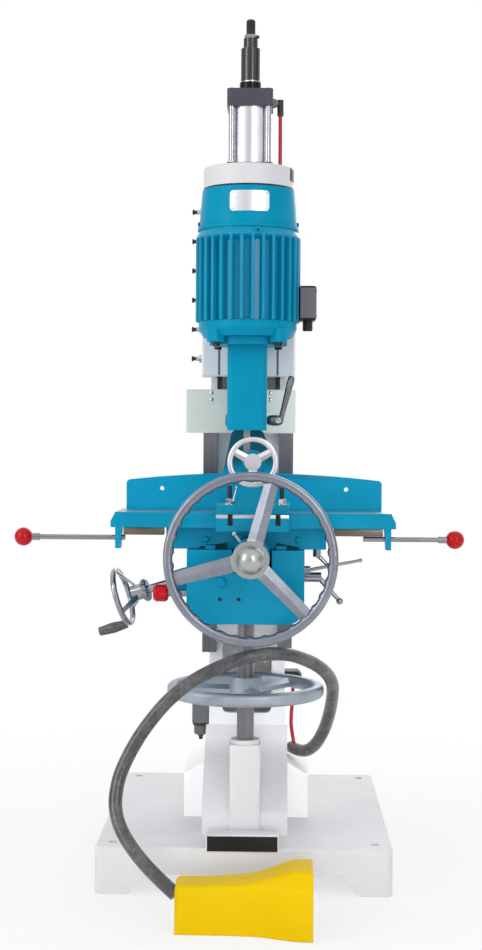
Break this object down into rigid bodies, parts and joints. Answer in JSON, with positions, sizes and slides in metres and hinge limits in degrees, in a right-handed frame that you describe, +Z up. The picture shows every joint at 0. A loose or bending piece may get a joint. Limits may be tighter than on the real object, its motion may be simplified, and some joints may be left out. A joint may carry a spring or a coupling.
{
  "type": "hollow chisel mortiser",
  "caption": "Floor-standing hollow chisel mortiser: air-fed motor head over a cross-sliding table on a screw-lifted knee, with handwheels, fence, work clamp and foot pedal.",
  "frame": {"origin": "on the floor at the centre of the base's four anchor holes", "axes": "+Z up, -Y towards the operator, +X to the operator's right"},
  "size_m": [0.88, 0.99, 1.7512],
  "materials": {
    "white_paint": "satin",
    "blue_paint": "gloss",
    "dark_grey_paint": "satin",
    "box_grey": "satin",
    "iron": "ground",
    "steel": "machined",
    "wheel_grey": "polished",
    "bright": "polished",
    "bronze": "machined",
    "alloy": "anodised",
    "black_plastic": "matte",
    "red_plastic": "gloss",
    "red_tube": "satin",
    "yellow_paint": "gloss",
    "hose_grey": "satin",
    "bowl_plastic": "clear",
    "copper_winding": "dull"
  },
  "bodies": {
    "frame": {"base": "white_paint", "column": "white_paint", "column_ways": "iron", "lift_nut": "bronze", "top_bracket": "white_paint", "cylinder_caps": "dark_grey_paint", "cylinder_barrel": "alloy", "tie_rods": "bright", "air_elbow": "black_plastic", "air_valve": "black_plastic", "conduit": "hose_grey", "air_tubes": "red_tube", "filter_body": "black_plastic", "filter_bowl": "bowl_plastic", "pedal_hood": "yellow_paint", "pedal_base": "black_plastic"},
    "stroke_ring": {"stroke_ring": "alloy"},
    "stroke_stem": {"stroke_stem": "black_plastic"},
    "head": {"head_slide": "white_paint", "head_gib": "iron", "gib_screws": "bright", "guard_plate": "alloy", "piston_rod": "steel", "chisel_holder": "blue_paint", "chisel": "steel", "motor_frame": "blue_paint", "motor_bells": "blue_paint", "bearings": "steel", "stator": "copper_winding", "fan_cowl": "blue_paint", "terminal_box": "box_grey"},
    "spindle": {"rotor_shaft": "steel", "fan": "black_plastic", "chuck": "steel", "auger_bit": "steel"},
    "chisel_lever": {"chisel_lever": "bright"},
    "knee": {"knee": "blue_paint", "knee_keepers": "iron"},
    "lift": {"lift_screw": "steel", "lift_wheel": "wheel_grey"},
    "crank": {"crank_wheel": "bright"},
    "crank_grip": {"crank_grip": "black_plastic"},
    "saddle": {"saddle": "blue_paint"},
    "wheel": {"pinion_shaft": "steel", "large_wheel": "wheel_grey"},
    "table": {"table": "blue_paint", "table_rack": "steel", "fence": "blue_paint", "clamp_bracket": "blue_paint"},
    "clamp_pad": {"clamp_pad": "steel"},
    "clamp_wheel": {"clamp_wheel": "bright"},
    "left_stop": {"left_stop_rod": "bright", "left_stop_ball": "red_plastic"},
    "right_stop": {"right_stop_rod": "bright", "right_stop_ball": "red_plastic"},
    "knee_lever": {"knee_lever": "bright"},
    "saddle_lever": {"saddle_lever": "bright"},
    "lock_rod": {"lock_rod": "bright"},
    "lock_knob": {"lock_knob": "red_plastic"},
    "treadle": {"treadle": "black_plastic"}
  },
  "joints": [
    {"name": "head_feed", "type": "slide", "parent": "frame", "child": "head", "axis": [0, 0, -1], "range_m": [0, 0.09]},
    {"name": "spindle_turn", "type": "hinge", "parent": "head", "child": "spindle", "pos_m": [0, -0.27, 1], "axis": [0, 0, 1], "continuous": true},
    {"name": "chisel_lever_turn", "type": "hinge", "parent": "head", "child": "chisel_lever", "pos_m": [0.039, -0.27, 0.9252], "axis": [1, 0, 0], "range_deg": [-60, 60]},
    {"name": "stroke_set", "type": "slide", "parent": "frame", "child": "stroke_ring", "axis": [0, 0, 1], "range_m": [0, 0.02]},
    {"name": "stroke_turn", "type": "hinge", "parent": "stroke_ring", "child": "stroke_stem", "pos_m": [0, -0.1275, 1.64], "axis": [0, 0, 1], "range_deg": [-10, 2900]},
    {"name": "knee_lift", "type": "slide", "parent": "frame", "child": "knee", "axis": [0, 0, 1], "range_m": [-0.07, 0.01]},
    {"name": "lift_turn", "type": "hinge", "parent": "knee", "child": "lift", "pos_m": [0, -0.23, 0.384], "axis": [0, 0, 1], "range_deg": [-5100, 740]},
    {"name": "saddle_feed", "type": "slide", "parent": "knee", "child": "saddle", "axis": [0, -1, 0], "range_m": [-0.03, 0.01]},
    {"name": "crank_turn", "type": "hinge", "parent": "knee", "child": "crank", "pos_m": [-0.115, -0.268, 0.611], "axis": [-0.947, 0.1331, -0.2924], "range_deg": [-2900, 1000]},
    {"name": "crank_grip_spin", "type": "hinge", "parent": "crank", "child": "crank_grip", "pos_m": [-0.23085, -0.25172, 0.51824], "axis": [-0.947, 0.1331, -0.2924], "continuous": true},
    {"name": "table_feed", "type": "slide", "parent": "saddle", "child": "table", "axis": [1, 0, 0], "range_m": [-0.08, 0.08]},
    {"name": "wheel_turn", "type": "hinge", "parent": "saddle", "child": "wheel", "pos_m": [0.012, -0.487, 0.665], "axis": [0, 1, 0], "range_deg": [-195, 195]},
    {"name": "clamp_feed", "type": "slide", "parent": "table", "child": "clamp_pad", "axis": [0, -1, 0], "range_m": [-0.032, 0]},
    {"name": "clamp_turn", "type": "hinge", "parent": "clamp_pad", "child": "clamp_wheel", "pos_m": [0.014, -0.429, 0.8442], "axis": [0, 1, 0], "range_deg": [-20, 3000]},
    {"name": "left_stop_slide", "type": "slide", "parent": "table", "child": "left_stop", "axis": [1, 0, 0], "range_m": [0, 0.06]},
    {"name": "right_stop_slide", "type": "slide", "parent": "table", "child": "right_stop", "axis": [1, 0, 0], "range_m": [0, 0.035]},
    {"name": "knee_lever_turn", "type": "hinge", "parent": "knee", "child": "knee_lever", "pos_m": [0.115, -0.25, 0.613], "axis": [1, 0, 0], "range_deg": [-45, 45]},
    {"name": "saddle_lever_turn", "type": "hinge", "parent": "saddle", "child": "saddle_lever", "pos_m": [0.141, -0.255, 0.6712], "axis": [0, 0, 1], "range_deg": [-45, 45]},
    {"name": "lock_rod_turn", "type": "hinge", "parent": "knee", "child": "lock_rod", "pos_m": [0.115, -0.3, 0.631], "axis": [1, 0, 0], "range_deg": [-60, 60]},
    {"name": "lock_knob_turn", "type": "hinge", "parent": "knee", "child": "lock_knob", "pos_m": [-0.115, -0.316, 0.585], "axis": [1, 0, 0], "range_deg": [-180, 180]},
    {"name": "treadle_press", "type": "hinge", "parent": "frame", "child": "treadle", "pos_m": [-0.04, -0.564, 0.044], "axis": [0, 1, 0], "range_deg": [0, 10], "stiffness_Nm_per_rad": 10, "springref_deg": -11.46}
  ],
  "couplings": [
    {"joint": "stroke_turn", "follows": "stroke_set", "rad_per_m": 2513.3},
    {"joint": "lift_turn", "follows": "knee_lift", "rad_per_m": 1256.6},
    {"joint": "crank_turn", "follows": "saddle_feed", "rad_per_m": 1570.8},
    {"joint": "wheel_turn", "follows": "table_feed", "rad_per_m": 41.667},
    {"joint": "clamp_turn", "follows": "clamp_feed", "rad_per_m": -1570.8}
  ]
}
